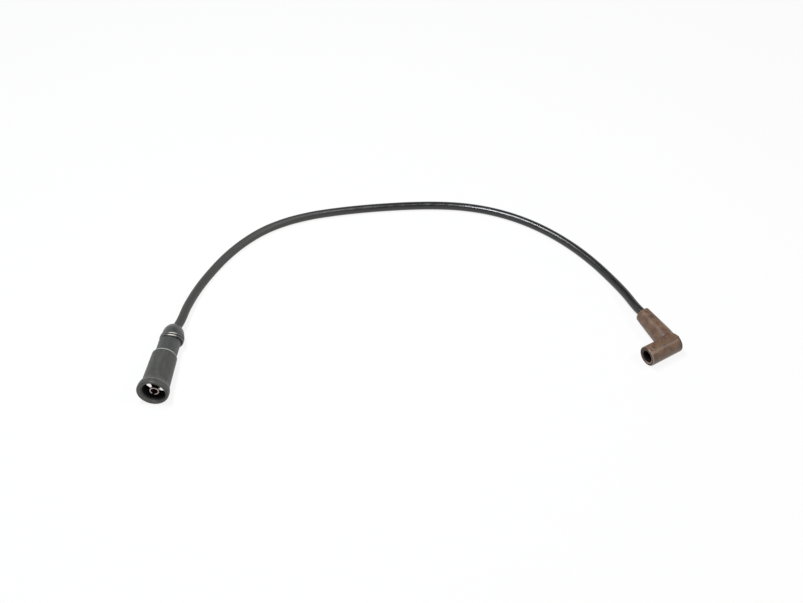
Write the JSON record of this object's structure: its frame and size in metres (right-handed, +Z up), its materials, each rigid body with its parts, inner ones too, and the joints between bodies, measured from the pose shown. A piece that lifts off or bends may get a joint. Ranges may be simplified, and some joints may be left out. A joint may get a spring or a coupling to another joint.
{
  "type": "spark plug wire",
  "caption": "Ignition lead: a black 7 mm cable lying in an open arch, with a straight black spark plug connector at one end and a brown right-angle boot at the other.",
  "frame": {"origin": "on the floor, below the middle of the box round the two connectors", "axes": "+X from the straight connector towards the elbow, +Y towards the crown of the cable's arch, +Z up from the floor the lead lies on"},
  "size_m": [0.4158, 0.225, 0.0246],
  "materials": {
    "black_rubber": "satin moulded rubber",
    "black_plastic": "satin moulded plastic",
    "brown_silicone": "satin moulded silicone rubber",
    "cable_rubber": "smooth extruded rubber with a soft sheen",
    "cream_rubber": "dull extruded rubber",
    "glass_braid": "dull woven glass yarn",
    "carbon_core": "dull carbon-filled yarn",
    "plated_steel": "bright plated sheet steel",
    "spring_steel": "bright drawn steel",
    "brass": "turned brass",
    "white_ceramic": "unglazed white ceramic"
  },
  "bodies": {
    "root": {"plug_sleeve": "black_rubber", "plug_housing": "black_plastic", "plug_seal_cap": "black_rubber", "plug_terminal": "plated_steel", "terminal_bush": "black_plastic", "stem_retainer": "spring_steel", "resistor_rod": "white_ceramic", "resistor_front_cap": "brass", "resistor_rear_cap": "brass", "contact_spring": "spring_steel", "contact_screw": "brass", "elbow_boot": "brown_silicone", "elbow_terminal": "plated_steel", "elbow_snap_ring": "spring_steel", "cable_jacket": "cable_rubber", "cable_braid": "glass_braid", "cable_insulation": "cream_rubber", "cable_core": "carbon_core"}
  },
  "joints": []
}
